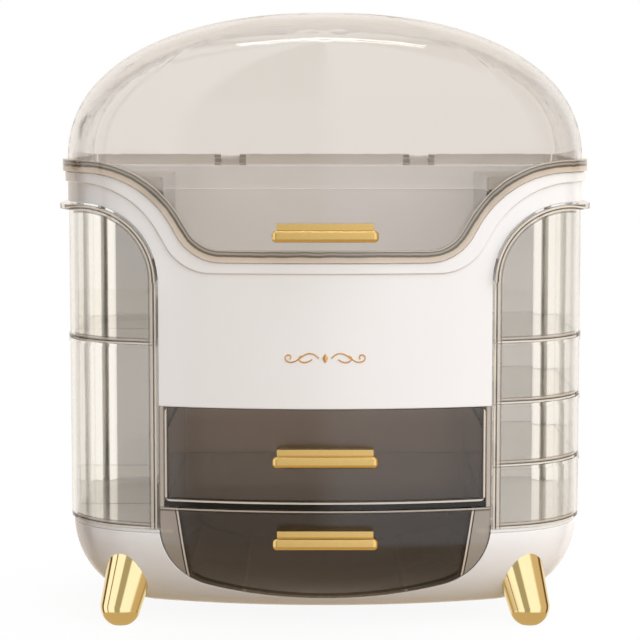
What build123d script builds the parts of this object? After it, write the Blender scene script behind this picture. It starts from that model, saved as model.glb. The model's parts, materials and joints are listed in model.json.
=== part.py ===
from build123d import *
import math
import os

# Dustproof makeup organizer, millimetres, +Z up.
# A D-shaped white body with gold legs carries a clear hinged dome lid on top, two smoked
# drawers in the middle, and clear bins at both sides that swing out on pins at the back.
# The script works in the plan's own y; keep() moves every piece so that the origin is
# under the middle of the whole object.

# ---------------------------------------------------------------- plan (seen from above)
half_width = 155.5          # middle to the outer side wall
tower_half_width = 97.5     # body between the side bins
front_y = -96.5             # front surface at the middle
back_y = 100.0              # flat back surface
front_radius = 350.0        # shallow bow of the front
corner_radius = 60.0        # front corners
back_corner_radius = 12.0   # back corners
wall = 2.5                  # white mouldings
clear_wall = 2.0            # clear and smoked mouldings
lid_wall = 2.5

# ---------------------------------------------------------------- levels
base_bottom = 8.0           # underside of the bowl
base_top = 61.0             # top of the base deck
drawer_opening_bottom = 18.0
shelf_bottom = 75.2         # shelf between the two drawers
shelf_thickness = 3.0
body_bottom = 134.2         # lower edge of the white front panel
rim_front = 219.0           # body rim at the middle of the front
rim_back = 270.0            # body rim at the sides and back
shoulder_bottom = 252.0     # underside of the shoulders over the side bins
dome_spring = 276.0         # where the lid's wall starts to curve in
dome_height = 88.4          # from there to the top of the dome

# ---------------------------------------------------------------- base, deck and legs
base_inset = 2.0            # base stands back from the body's sides
bowl_reach = 55.0           # how far the bowl draws in to its flat underside
bowl_inner_reach = bowl_reach - wall
bowl_exponent = 2.1         # of the bowl's superellipse profile
deck_thickness = 2.5
opening_half_width = tower_half_width   # cut-out in the base for the bottom drawer
opening_corner_radius = 38.0
opening_sag_radius = 280.0
drawer_clearance = 0.6      # round the drawer fronts
leg_x = half_width - 30.1
leg_front_y = front_y + 34.5
leg_back_y = back_y - 36.0
leg_sole_radius = 12.2
leg_top_radius = 15.4
leg_length = 54.0
leg_splay = 14.0            # degrees out of upright, sideways
leg_rake = 7.0              # degrees out of upright, to the front or the back
leg_sole_trim = 1.0         # cut off the round end, so that the leg stands flat
leg_screw_radius = 1.6
leg_screw_length = 16.0
screw_head_radius = 3.2
screw_head_height = 1.8

# ---------------------------------------------------------------- body shoulders and rim
shoulder_run = 13.0         # level underside of the shoulder, outside its round
shoulder_radius = half_width - tower_half_width - shoulder_run
rim_start_x = half_width - 95.5     # the rim is level from the middle to here
rim_low_radius = 30.0
rim_high_radius = 60.0
rim_slope = 60.0            # degrees, steepest part of the rim's sweep
groove_start_x = rim_start_x + 6.5
groove_front = 212.7
groove_back = 264.0
groove_high_radius = 55.0
band_relief = 1.5           # raised band under the rim
rim_split_y = -20.0         # the sweep is in the front part only

# ---------------------------------------------------------------- pockets on the shoulders
pocket_inner_x = tower_half_width + 0.5     # wall between the pocket and the middle bin
pocket_wall = 1.6
pocket_front_y = -18.0
pocket_drop = 4.0           # pocket edge below the back rim
pocket_clearance = 0.2

# ---------------------------------------------------------------- lid
lid_gap = 0.3               # air between the lid and the rim it rests on
flange_height = 7.0
flange_reach = 3.0
dome_exponent = 2.25
dome_middle_y = -30.0       # the dome's front part shrinks towards this line
dome_back_round = 10.0
hinge_axis_y = back_y + 4.5
hinge_axis_z = rim_back + 3.0
hinge_x = 62.0
hinge_pin_radius = 1.5
knuckle_radius = 3.4
knuckle_width = 12.0
ear_width = 4.0
side_clearance = 0.3
pin_clearance = 0.05
hinge_bore_length = 60.0
bracket_foot = 17.0         # the brackets reach this far down the back
bracket_sink = 0.2          # how far they run into the wall
bracket_step = 4.0

# ---------------------------------------------------------------- housing and drawers
housing_wall = 3.2
housing_back_wall = 2.5
housing_inset = 0.5         # housing and shelf stand back from the outline
shelf_inset = 1.0
ledge_width = 2.0
ledge_height = 2.0
ledge_setback = 40.0        # the shelf's ledges start this far behind the front
running_clearance = 0.5     # drawer sides
seat_clearance = 0.3        # under drawers and bins
front_thickness = 3.0
front_cut_y = -20.0         # cuts in the front go no further back
middle_tray_height = 42.0
middle_tray_back = back_y - 10.0
middle_front_corner = 3.0
bottom_front_top = 74.2
tray_top = 72.2
tray_top_half_width = tower_half_width - 10.7
tray_taper = 8.7            # degrees, sides of the bottom drawer
tray_inset = 3.0            # tray section stands back from the cut-out
slot_clearance = 2.2        # deck beside the bottom drawer's tray
bottom_tray_back = back_y - 27.0
rib_x = 48.0
rib_thickness = 2.4

# ---------------------------------------------------------------- handles
handle_length = 61.0
handle_height = 7.0
handle_depth = 8.5
handle_round = 2.6
web_length = 55.7
web_height = 10.0
web_depth = 5.0
handle_screw_x = 18.0
handle_screw_radius = 1.5
handle_screw_length = 8.0
lid_handle_z = 235.0
middle_handle_z = 105.0
bottom_handle_z = 57.0

# ---------------------------------------------------------------- side bins
bin_gap = 1.2               # between the bins and the body beside and above them
bin_inset = 0.5             # bins stand back from the body's outline
bin_back_gap = 0.5
bin_floor = 2.0
bin_levels = (61.0, 98.0, 135.0, 171.0)     # right side: four bins, undersides
left_levels = (61.0, 170.0)                 # left side: two bins
barrel_radius = 8.5
bin_pin_radius = 2.0
bin_flange = 6.0            # strip left standing at the front of the open side
low_wall = 13.0             # low inner wall, small bins
tall_low_wall = 26.0        # low inner wall, tall bins
lip_reach = 5.0
lip_thickness = 3.0
lip_back_y = 76.0
bead_reach = 0.7
bead_height = 2.0
divider_thickness = 1.6
divider_height = 24.0
divider_y = -6.0
divider_fit = 0.1           # the divider is pressed this far into the walls
open_side_setback = 14.0    # the strip at the open side's front starts this far back
pin_socket_depth = 4.5
pin_socket_floor = 1.5
pin_socket_radius = 3.5

reach = 400.0               # larger than the object, for cutting tools

plan_centre_y = front_y + front_radius
corner_x = half_width - corner_radius
plan_angle = math.degrees(math.asin(corner_x / (front_radius - corner_radius)))
corner_y = plan_centre_y - (front_radius - corner_radius) * math.cos(math.radians(plan_angle))
body_half_depth = front_y - web_depth - handle_depth
origin_y = (body_half_depth + hinge_axis_y + knuckle_radius) / 2
barrel_x = half_width - bin_inset - barrel_radius
barrel_y = back_y - wall - bin_back_gap - barrel_radius

nodes = {}


def keep(name, *pieces):
    """Store a node of one or more solids, moved so that the origin is under the object's middle."""
    moved = [Pos(0, -origin_y, 0) * solid for piece in pieces for solid in piece.solids()]
    nodes[name] = moved[0] if len(moved) == 1 else Compound(moved)


def bounds_box(x0, x1, y0, y1, z0, z1):
    """A box between two corners."""
    centre = Pos((x0 + x1) / 2, (y0 + y1) / 2, (z0 + z1) / 2)
    return centre * Box(x1 - x0, y1 - y0, z1 - z0)


def plan_face(z=0.0, grow=0.0, shrink=1.0, back=back_y, back_round=back_corner_radius):
    """The D-shaped outline at height z, as a face.

    grow offsets it outward. shrink draws its front part in towards dome_middle_y.
    """
    middle = dome_middle_y * (1 - shrink)
    side = (half_width + grow) * shrink
    rear = back + grow
    turn = 90 - plan_angle
    bow = (front_radius + grow) * shrink
    corner = (corner_radius + grow) * shrink
    cx = corner_x * shrink
    cy = corner_y * shrink + middle
    rr = min(back_round, side * 0.9)
    edges = [
        CenterArc((0, plan_centre_y * shrink + middle), bow, 270 - plan_angle, 2 * plan_angle),
        CenterArc((cx, cy), corner, 270 + plan_angle, turn),
        Line((side, cy), (side, rear - rr)),
        CenterArc((side - rr, rear - rr), rr, 0, 90),
        Line((side - rr, rear), (rr - side, rear)),
        CenterArc((rr - side, rear - rr), rr, 90, 90),
        Line((-side, rear - rr), (-side, cy)),
        CenterArc((-cx, cy), corner, 180, turn),
    ]
    return Pos(0, 0, z) * make_face(edges)


def plan_prism(z0, z1, grow=0.0, back=back_y, back_round=back_corner_radius):
    """The outline as an upright solid between two heights."""
    return extrude(plan_face(z0, grow, 1.0, back, back_round), amount=z1 - z0, dir=(0, 0, 1))


def across(face, y0, y1):
    """A face drawn in X and Z, as a solid from y0 to y1."""
    return extrude(Plane.XZ.offset(-y1) * face, amount=y1 - y0)


def mirrored(shape):
    """The same piece at the other side."""
    return mirror(shape, about=Plane.YZ)


def rim_face(level_x, low, high, low_radius, high_radius):
    """Everything below the rim's sweep, drawn in X and Z."""
    slope = math.radians(rim_slope)
    low_x = level_x + low_radius * math.sin(slope)
    low_z = low + low_radius * (1 - math.cos(slope))
    high_z = high - high_radius * (1 - math.cos(slope))
    high_x = low_x + (high_z - low_z) / math.tan(slope)
    end_x = high_x + high_radius * math.sin(slope)
    edges = []
    for side in (1, -1):
        start = 270 if side > 0 else 270 - rim_slope
        end = 90 if side > 0 else 90 - rim_slope
        edges += [
            Line((0, low), (side * level_x, low)),
            CenterArc((side * level_x, low + low_radius), low_radius, start, rim_slope),
            Line((side * low_x, low_z), (side * high_x, high_z)),
            CenterArc((side * end_x, high - high_radius), high_radius, end, rim_slope),
            Line((side * end_x, high), (side * reach, high)),
            Line((side * reach, high), (side * reach, 0)),
            Line((side * reach, 0), (0, 0)),
        ]
    return make_face(edges)


def below_rim(raised=0.0):
    """Everything below the body's rim, or below a line raised square off it."""
    sweep = rim_face(rim_start_x, rim_front + raised, rim_back + raised,
                     rim_low_radius - raised, rim_high_radius + raised)
    front = across(sweep, -reach, rim_split_y)
    return front + bounds_box(-reach, reach, rim_split_y, reach, 0, rim_back + raised)


def below_groove():
    """Everything below the line where the raised band starts."""
    sweep = rim_face(groove_start_x, groove_front, groove_back, rim_low_radius, groove_high_radius)
    front = across(sweep, -reach, rim_split_y)
    return front + bounds_box(-reach, reach, rim_split_y, reach, 0, groove_back)


def wing_face(grow=0.0, bottom=0.0):
    """The arch-topped space of the right-hand bins, drawn in X and Z."""
    centre_x = tower_half_width + shoulder_radius
    centre_z = shoulder_bottom - shoulder_radius
    inner = tower_half_width - grow
    top = shoulder_bottom + grow
    return make_face([
        Line((inner, bottom), (inner, centre_z)),
        CenterArc((centre_x, centre_z), shoulder_radius + grow, 90, 90),
        Line((centre_x, top), (reach, top)),
        Line((reach, top), (reach, bottom)),
        Line((reach, bottom), (inner, bottom)),
    ])


def wing_space(grow=0.0, bottom=0.0):
    """The right-hand bins' space as a solid, through the whole depth."""
    return across(wing_face(grow, bottom), -reach, reach)


def both_wings(grow=0.0):
    space = wing_space(grow)
    return space + mirrored(space)


def opening_face(inset=0.0, top=200.0):
    """The U-shaped front opening of the bottom drawer, drawn in X and Z."""
    half = opening_half_width - inset
    corner = opening_corner_radius - inset
    sag = opening_sag_radius - inset
    cx = opening_half_width - opening_corner_radius
    angle = math.degrees(math.asin(cx / (opening_sag_radius - opening_corner_radius)))
    centre_z = drawer_opening_bottom + opening_sag_radius
    cz = centre_z - (opening_sag_radius - opening_corner_radius) * math.cos(math.radians(angle))
    return make_face([
        CenterArc((0, centre_z), sag, 270 - angle, 2 * angle),
        CenterArc((cx, cz), corner, 270 + angle, 90 - angle),
        CenterArc((-cx, cz), corner, 180, 90 - angle),
        Line((half, cz), (half, top)),
        Line((half, top), (-half, top)),
        Line((-half, top), (-half, cz)),
    ])


def bowl(inset, draw_in, bottom, top):
    """The base's bowl with upright sides above it, as a solid."""
    sections = []
    height = base_top - bottom
    for angle in (90, 80, 69, 57, 45, 33, 21, 10, 0):
        a = math.radians(angle)
        drawn = draw_in * (1 - math.cos(a) ** (2 / bowl_exponent))
        z = base_top - height * math.sin(a) ** (2 / bowl_exponent)
        sections.append(plan_face(z, -inset - drawn, back_round=back_corner_radius + 0.4 * drawn))
    solid = loft(sections)
    return solid + plan_prism(base_top, top, -inset)


def dome(inset):
    """The lid's outer form, drawn in by inset: upright walls and the dome above them."""
    height = dome_height - inset
    sections = []
    for angle in (0, 10, 20, 31, 42, 52, 61, 69, 76, 82, 87):
        a = math.radians(angle)
        shrink = math.cos(a) ** (2 / dome_exponent)
        rise = height * math.sin(a) ** (2 / dome_exponent)
        left = min(1.0, max(0.0, (height - rise) / dome_back_round))
        back = back_y - dome_back_round * (1 - math.sqrt(1 - (1 - left) ** 2))
        sections.append(plan_face(dome_spring + rise, -inset, shrink, back))
    return loft(sections) + plan_prism(rim_front - 10, dome_spring, -inset)


def screw(radius, length):
    """A pan-head screw: the shank runs down from z = 0 and the head stands above it."""
    shank = Pos(0, 0, -length) * Cylinder(radius, length, align=(Align.CENTER, Align.CENTER, Align.MIN))
    head = Cylinder(screw_head_radius, screw_head_height, align=(Align.CENTER, Align.CENTER, Align.MIN))
    return shank + fillet(head.edges().sort_by(Axis.Z)[-1], 0.9)


def handle(z, surface_y):
    """A bar handle on a web; the wall it stands on is cut off it later."""
    bar_back = surface_y - web_depth
    bar = bounds_box(-handle_length / 2, handle_length / 2, bar_back - handle_depth, bar_back,
                     z - handle_height / 2, z + handle_height / 2)
    bar = fillet(bar.edges(), handle_round)
    low = z - handle_height / 2 + 0.6
    web = bounds_box(-web_length / 2, web_length / 2, bar_back - handle_depth / 2,
                     surface_y + 3 * front_thickness, low, low + web_height)
    return bar + web


def handle_screws(z, inner_y):
    """Two screws from inside the wall into the handle's web."""
    pair = []
    for x in (-handle_screw_x, handle_screw_x):
        place = Pos(x, inner_y, z) * Rot(-90, 0, 0)
        pair.append(place * screw(handle_screw_radius, handle_screw_length))
    return pair


# ================================================================ base
bowl_outer = bowl(base_inset, bowl_reach, base_bottom, base_top + 20)
bowl_inner = bowl(base_inset + wall, bowl_inner_reach, base_bottom + wall, base_top + 20)
deck_bottom = base_top - deck_thickness
tray_face = opening_face(tray_inset)
drawer_way = across(opening_face(), -reach, front_y + bowl_reach)

base_shell = bowl_outer - bowl_inner
base_shell = base_shell - bounds_box(-reach, reach, -reach, reach, deck_bottom, base_top + 30)
base_shell = base_shell - drawer_way

rib_back = bottom_tray_back
for x in (-rib_x, rib_x):
    rib = bounds_box(x - rib_thickness / 2, x + rib_thickness / 2, front_y + bowl_reach / 2,
                     rib_back, base_bottom + 1, deck_bottom)
    rib = rib - across(opening_face(tray_inset - seat_clearance), -reach, reach)
    base_shell = base_shell + (rib & bowl_outer)

# Legs: splayed cones with a round end, cut flat where they stand and shaped to the bowl on top.
leg_screw_group = []
for side in (-1, 1):
    for end, y in (("front", leg_front_y), ("rear", leg_back_y)):
        rake = leg_rake if end == "front" else -leg_rake
        tilt = Pos(side * leg_x, y, -leg_sole_trim) * Rot(-rake, -side * leg_splay, 0)
        profile = make_face([
            Line((0, 0), (0, leg_length)),
            Line((0, leg_length), (leg_top_radius, leg_length)),
            Line((leg_top_radius, leg_length), (leg_sole_radius, leg_sole_radius)),
            CenterArc((0, leg_sole_radius), leg_sole_radius, 270, 90),
        ])
        cone = revolve(Plane.XZ * profile, axis=Axis.Z)
        leg = tilt * cone - bowl_outer
        leg = leg - bounds_box(-reach, reach, -reach, reach, -50, 0)
        leg = leg.solids().sort_by(Axis.Z)[0]
        # The screw stands on the bowl's inner face, on the leg's own axis.
        shell_z = 0.0
        for part in (tilt * Cylinder(0.5, 2 * leg_length) & base_shell).solids():
            shell_z = part.bounding_box().max.Z
        along = (shell_z + leg_sole_trim) / (math.cos(math.radians(leg_splay))
                                              * math.cos(math.radians(leg_rake)))
        shank = tilt * Pos(0, 0, along) * screw(leg_screw_radius, leg_screw_length)
        hole = tilt * Pos(0, 0, along - leg_screw_length) * Cylinder(
            leg_screw_radius, leg_length, align=(Align.CENTER, Align.CENTER, Align.MIN))
        leg = leg - hole
        base_shell = base_shell - hole
        leg_screw_group.append(shank - base_shell)
        sidename = "left" if side < 0 else "right"
        keep("leg_" + end + "_" + sidename, leg)
keep("base_shell", base_shell)
keep("leg_screws", *leg_screw_group)

# ================================================================ base deck
deck = plan_prism(deck_bottom, base_top, -base_inset)
slot_half = tray_top_half_width + slot_clearance
deck = deck - bounds_box(-slot_half, slot_half, -reach, middle_tray_back, 0, reach)
zone_top = bottom_front_top + drawer_clearance
front_zone = plan_prism(0, zone_top, flange_reach)
front_zone = front_zone - plan_prism(0, zone_top, -base_inset - front_thickness - drawer_clearance)
front_zone = front_zone & across(opening_face(), -reach, front_cut_y)
deck = deck - front_zone
for side in (-1, 1):
    socket = Pos(side * barrel_x, barrel_y, deck_bottom - pin_socket_depth) * Cylinder(
        pin_socket_radius, pin_socket_depth, align=(Align.CENTER, Align.CENTER, Align.MIN))
    pin_hole = Pos(side * barrel_x, barrel_y, deck_bottom - pin_socket_depth + pin_socket_floor) * Cylinder(
        bin_pin_radius, reach, align=(Align.CENTER, Align.CENTER, Align.MIN))
    deck = deck + (socket & bowl_inner) - pin_hole
keep("base_deck", deck)

# ================================================================ drawer housing and shelf
housing_outer = tower_half_width
housing_inner = tower_half_width - housing_wall
shelf_top = shelf_bottom + shelf_thickness
rear_face = back_y - wall
housing = plan_prism(base_top, body_bottom, -housing_inset)
housing = housing & bounds_box(-housing_outer, housing_outer, -reach, rear_face, base_top, body_bottom)
housing = housing - bounds_box(-housing_inner, housing_inner, -reach, rear_face - housing_back_wall,
                               base_top - 1, body_bottom + 1)
housing = housing - front_zone
for side in (-1, 1):
    x0, x1 = sorted((side * housing_inner, side * (housing_inner - ledge_width)))
    ledge = bounds_box(x0, x1, front_y + ledge_setback, rear_face - housing_back_wall,
                       shelf_bottom - ledge_height, shelf_bottom)
    housing = housing + ledge
keep("drawer_housing", housing)

shelf = plan_prism(shelf_bottom, shelf_top, -shelf_inset)
shelf = shelf & bounds_box(-housing_inner, housing_inner, -reach, rear_face - housing_back_wall,
                           shelf_bottom, shelf_top)
keep("drawer_shelf", shelf)

# ================================================================ upper body
body = plan_prism(body_bottom, rim_back + 20) - both_wings()
body = body - bounds_box(-reach, reach, rear_face, reach, 0, shoulder_bottom)
cavity = plan_prism(body_bottom + wall, reach, -wall) - both_wings(wall)
cavity = cavity - bounds_box(-reach, reach, rear_face - wall, reach, 0, shoulder_bottom + wall)
body = body - cavity
band = plan_prism(groove_front - 5, rim_back + 10, band_relief) \
    - plan_prism(groove_front - 6, rim_back + 11, -wall / 2)
band = band - below_groove()
body = (body + band) & below_rim()
for side in (-1, 1):
    body = body - Pos(side * barrel_x, barrel_y, shoulder_bottom - 1) * Cylinder(
        bin_pin_radius, wall + 2, align=(Align.CENTER, Align.CENTER, Align.MIN))
hinge_xs = (-hinge_x, hinge_x)
for x in hinge_xs:
    on_axis = Pos(x, hinge_axis_y, hinge_axis_z) * Rot(0, 90, 0)
    knuckle = on_axis * Cylinder(knuckle_radius, knuckle_width)
    bracket_face = make_face(Polyline([
        (back_y - bracket_sink, rim_back - bracket_foot),
        (hinge_axis_y + knuckle_radius, hinge_axis_z - bracket_step),
        (hinge_axis_y + knuckle_radius, hinge_axis_z),
        (hinge_axis_y - knuckle_radius, hinge_axis_z),
        (hinge_axis_y - knuckle_radius, rim_back - lid_gap - bracket_sink),
        (back_y - bracket_sink, rim_back - lid_gap - bracket_sink)], close=True))
    bracket = Pos(x, 0, 0) * extrude(Plane.YZ.offset(-knuckle_width / 2) * bracket_face,
                                     amount=knuckle_width)
    body = body + bracket + knuckle
    body = body - on_axis * Cylinder(hinge_pin_radius, hinge_bore_length)
keep("body_shell", body)

# ================================================================ pockets on the shoulders
pocket_top = rim_back - pocket_drop


def pocket(draw_in):
    """Right-hand space above the shoulder, drawn in all round."""
    low = shoulder_bottom - shoulder_radius
    space = plan_prism(low, pocket_top + draw_in, -wall - pocket_clearance - draw_in)
    space = space & bounds_box(pocket_inner_x + draw_in, reach, pocket_front_y + draw_in,
                               rear_face - wall - draw_in, low, reach)
    return space - wing_space(wall + draw_in)


right_pocket = pocket(0) - pocket(pocket_wall)
keep("top_pocket_right", right_pocket)
keep("top_pocket_left", mirrored(right_pocket))

# ================================================================ back panel
panel_half = half_width - back_corner_radius
back_panel = bounds_box(-panel_half, panel_half, rear_face, back_y, base_top, shoulder_bottom)
back_panel = fillet(back_panel.edges().filter_by(Axis.Z).group_by(Axis.Y)[-1], 1.8)
keep("back_panel", back_panel)

# ================================================================ lid
dome_outer = dome(0)
dome_inner = dome(lid_wall)
lid = (dome_outer - dome_inner) - below_rim(lid_gap)
flange = plan_prism(rim_front - 5, rim_back + 20, flange_reach)
flange = flange - plan_prism(rim_front - 6, rim_back + 21, -flange_reach / 2)
flange = (flange & below_rim(lid_gap + flange_height)) - below_rim(lid_gap)
lid = lid + flange
pin_length = knuckle_width + 2 * ear_width + 2 * side_clearance
pins = []
for x in hinge_xs:
    notch_half = knuckle_width / 2 + side_clearance
    lid = lid - bounds_box(x - notch_half, x + notch_half, back_y + 0.05, reach,
                           rim_back - 5, rim_back + 20)
    for side in (-1, 1):
        ear_x = x + side * (notch_half + ear_width / 2)
        ear = Pos(ear_x, hinge_axis_y, hinge_axis_z) * Rot(0, 90, 0) * Cylinder(knuckle_radius, ear_width)
        web = bounds_box(ear_x - ear_width / 2, ear_x + ear_width / 2, back_y - 1, hinge_axis_y,
                         rim_back + lid_gap, hinge_axis_z + knuckle_radius)
        lid = lid + ear + web
    bore = Pos(x, hinge_axis_y, hinge_axis_z) * Rot(0, 90, 0) * Cylinder(
        hinge_pin_radius + pin_clearance, hinge_bore_length)
    lid = lid - bore
    pins.append(Pos(x, hinge_axis_y, hinge_axis_z) * Rot(0, 90, 0) * Cylinder(hinge_pin_radius, pin_length))
lid_wall_inner = front_y + lid_wall
lid_screws = handle_screws(lid_handle_z, lid_wall_inner)
lid_handle = handle(lid_handle_z, front_y) - dome_outer
for part in lid_screws:
    lid = lid - part
    lid_handle = lid_handle - part
keep("lid_dome", lid)
keep("lid_hinge_pins", *pins)
keep("lid_handle", lid_handle)
keep("lid_handle_screws", *lid_screws)

# ================================================================ middle drawer
drawer_half = housing_inner - running_clearance
tray_bottom = shelf_top + seat_clearance
front_top = body_bottom - running_clearance
front_shape = Pos(0, (tray_bottom + front_top) / 2) * RectangleRounded(
    2 * drawer_half, front_top - tray_bottom, middle_front_corner)
front = plan_prism(tray_bottom, front_top) - plan_prism(tray_bottom, front_top, -front_thickness)
front = front & across(front_shape, -reach, front_cut_y)
tray = plan_prism(tray_bottom, tray_bottom + middle_tray_height, -front_thickness / 2)
tray = tray & bounds_box(-drawer_half, drawer_half, -reach, middle_tray_back, 0, reach)
hollow = plan_prism(tray_bottom + clear_wall, reach, -front_thickness)
hollow = hollow & bounds_box(clear_wall - drawer_half, drawer_half - clear_wall, -reach,
                             middle_tray_back - clear_wall, 0, reach)
middle_tray = (tray & across(front_shape, -reach, reach)) - hollow + front
middle_screws = handle_screws(middle_handle_z, front_y + front_thickness)
middle_handle = handle(middle_handle_z, front_y) - plan_prism(0, reach)
for part in middle_screws:
    middle_tray = middle_tray - part
    middle_handle = middle_handle - part
keep("middle_drawer_tray", middle_tray)
keep("middle_drawer_handle", middle_handle)
keep("middle_drawer_handle_screws", *middle_screws)

# ================================================================ bottom drawer
front_bowl = bowl(base_inset + front_thickness, bowl_inner_reach, base_bottom + front_thickness,
                  base_top + 20)
front_outline = opening_face(drawer_clearance, bottom_front_top)
front = (bowl_outer - front_bowl) & across(front_outline, -reach, front_cut_y)


def tray_section(inset):
    """Section of the bottom drawer: tapered sides over the curve of the base opening."""
    top_half = tray_top_half_width - inset
    low_half = top_half - (tray_top - drawer_opening_bottom) * math.tan(math.radians(tray_taper))
    taper = make_face(Polyline([(-top_half, tray_top), (top_half, tray_top),
                                (low_half, drawer_opening_bottom), (-low_half, drawer_opening_bottom)],
                               close=True))
    return taper & opening_face(tray_inset + inset)


bottom_tray = across(tray_section(0), -reach, bottom_tray_back) & bowl_outer
scoop = across(tray_section(clear_wall), -reach, bottom_tray_back - clear_wall) & front_bowl
scoop = scoop + across(tray_section(clear_wall), front_y + bowl_reach, bottom_tray_back - clear_wall)
top_cut = across(make_face(Polyline([
    (clear_wall - tray_top_half_width, tray_top - 1), (tray_top_half_width - clear_wall, tray_top - 1),
    (tray_top_half_width - clear_wall, tray_top + 5), (clear_wall - tray_top_half_width, tray_top + 5)],
    close=True)), -reach, bottom_tray_back - clear_wall) & front_bowl
bottom_tray = bottom_tray - scoop - top_cut + front
bottom_front_y = front_y + base_inset
bottom_screws = handle_screws(bottom_handle_z, bottom_front_y + front_thickness + 0.1)
bottom_handle = handle(bottom_handle_z, bottom_front_y) - bowl_outer
for part in bottom_screws:
    bottom_tray = bottom_tray - part
    bottom_handle = bottom_handle - part
keep("bottom_drawer_tray", bottom_tray)
keep("bottom_drawer_handle", bottom_handle)
keep("bottom_drawer_handle_screws", *bottom_screws)

# ================================================================ side bins
bin_back = back_y - wall - bin_back_gap + bin_inset


def bin_prism(z0, z1, grow=0.0):
    """The right-hand bins' outline between two heights, offset by grow."""
    solid = plan_prism(z0, z1, grow - bin_inset, bin_back, barrel_radius + grow)
    inner = tower_half_width + bin_gap - grow
    return solid & bounds_box(inner, reach, -reach, reach, z0, z1)


def side_bin(z0, z1, inner_wall):
    """A clear bin on the right: floor, outer wall, low inner wall and pin barrel."""
    top_bin = z1 > shoulder_bottom - 1
    shell = bin_prism(z0, z1)
    if top_bin:
        shell = shell & wing_space(-bin_gap)
    hollow = bin_prism(z0 + bin_floor, z1 + 1, -clear_wall)
    barrel = Pos(barrel_x, barrel_y, z0) * Cylinder(
        barrel_radius, z1 - z0, align=(Align.CENTER, Align.CENTER, Align.MIN))
    shell = shell - (hollow - barrel)
    x0 = tower_half_width
    open_side = bounds_box(x0, x0 + bin_gap + clear_wall + 0.5, front_y + open_side_setback + bin_flange,
                           rear_face - bin_flange, z0 + inner_wall, z1 + 1)
    shell = shell - open_side
    bead_top = z1 if not top_bin else z0 + bead_height
    if top_bin:
        lip = bin_prism(z0, z1, lip_reach + bin_inset) - bin_prism(z0 - 1, z1 + 1, -clear_wall)
        lip = lip & bounds_box(tower_half_width + bin_gap, reach, -reach, lip_back_y,
                               shoulder_bottom - shoulder_radius, z1)
        shell = shell + ((lip & wing_space(-bin_gap)) - wing_space(-bin_gap - lip_thickness))
    bead = bin_prism(bead_top - bead_height, bead_top, bead_reach) - bin_prism(z0 - 1, z1 + 1, -0.5)
    bead = bead & bounds_box(tower_half_width + bin_gap, reach, -reach, lip_back_y, 0, reach)
    shell = shell + bead
    bore = Pos(barrel_x, barrel_y, z0 - 1) * Cylinder(
        bin_pin_radius + pin_clearance, reach, align=(Align.CENTER, Align.CENTER, Align.MIN))
    return shell - bore


def divider(z0):
    """A low clear divider that stands across a tall bin."""
    plate = bin_prism(z0 + bin_floor, z0 + bin_floor + divider_height, -clear_wall - divider_fit)
    return plate & bounds_box(0, reach, divider_y - divider_thickness / 2,
                              divider_y + divider_thickness / 2, 0, reach)


right_names = ("bottom", "lower", "upper", "top")
right_tops = bin_levels[1:] + (shoulder_bottom,)
for name, z0, z1 in zip(right_names, bin_levels, right_tops):
    keep("right_bin_" + name, side_bin(z0 + seat_clearance, z1, low_wall))

left_names = ("lower", "upper")
left_tops = left_levels[1:] + (shoulder_bottom,)
for name, z0, z1 in zip(left_names, left_levels, left_tops):
    keep("left_bin_" + name, mirrored(side_bin(z0 + seat_clearance, z1, tall_low_wall)))
    keep("left_divider_" + name, mirrored(divider(z0 + seat_clearance)))

pin_base = deck_bottom - pin_socket_depth + pin_socket_floor
pin_top = shoulder_bottom + wall
for side, name in ((-1, "left"), (1, "right")):
    pin = Pos(side * barrel_x, barrel_y, pin_base) * Cylinder(
        bin_pin_radius, pin_top - pin_base, align=(Align.CENTER, Align.CENTER, Align.MIN))
    keep(name + "_bin_pin", pin)

# ================================================================ files
os.makedirs("parts", exist_ok=True)
for name, shape in nodes.items():
    export_step(shape, "parts/" + name + ".step")
    print(name, len(shape.solids()), "solids", round(shape.volume), "mm3")
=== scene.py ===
# %% [markdown]
# # Dustproof makeup organizer
# The organizer is a white box on gold legs, with a clear hinged dome, two smoked drawers and
# clear bins that swing out at both sides. Its moulded parts come ready from the frame at their
# real size. This notebook gives them their finishes, rounds the edges of the white mouldings,
# draws the fine lines at the edges of the clear ones, and models the gold ornament.

import json
import math

import bpy
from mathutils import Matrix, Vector


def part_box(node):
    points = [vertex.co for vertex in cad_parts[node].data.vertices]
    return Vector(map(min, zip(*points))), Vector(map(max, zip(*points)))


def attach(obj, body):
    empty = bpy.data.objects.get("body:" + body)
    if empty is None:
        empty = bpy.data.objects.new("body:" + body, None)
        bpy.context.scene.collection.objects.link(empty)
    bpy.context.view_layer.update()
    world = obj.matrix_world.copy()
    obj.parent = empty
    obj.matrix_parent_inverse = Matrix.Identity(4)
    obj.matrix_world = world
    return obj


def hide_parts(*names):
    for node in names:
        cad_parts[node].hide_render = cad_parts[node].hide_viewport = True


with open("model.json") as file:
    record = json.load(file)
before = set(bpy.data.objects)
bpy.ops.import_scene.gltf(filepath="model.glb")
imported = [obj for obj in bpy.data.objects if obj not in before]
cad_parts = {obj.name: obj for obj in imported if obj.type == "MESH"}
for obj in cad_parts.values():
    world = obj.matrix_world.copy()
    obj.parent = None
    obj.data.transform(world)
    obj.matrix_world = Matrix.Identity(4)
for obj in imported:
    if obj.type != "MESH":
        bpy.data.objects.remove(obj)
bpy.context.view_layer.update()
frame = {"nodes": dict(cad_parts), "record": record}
nodes = frame["nodes"]
mm = 0.001

# %% [markdown]
# ## Small helpers
# Colours are written as a painter's hex values and turned to the linear values that the
# renderer works in. Nodes could be placed by hand in the shader editor. One function that adds
# a node with its settings and its links does the same, and reads from top to bottom.


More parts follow.
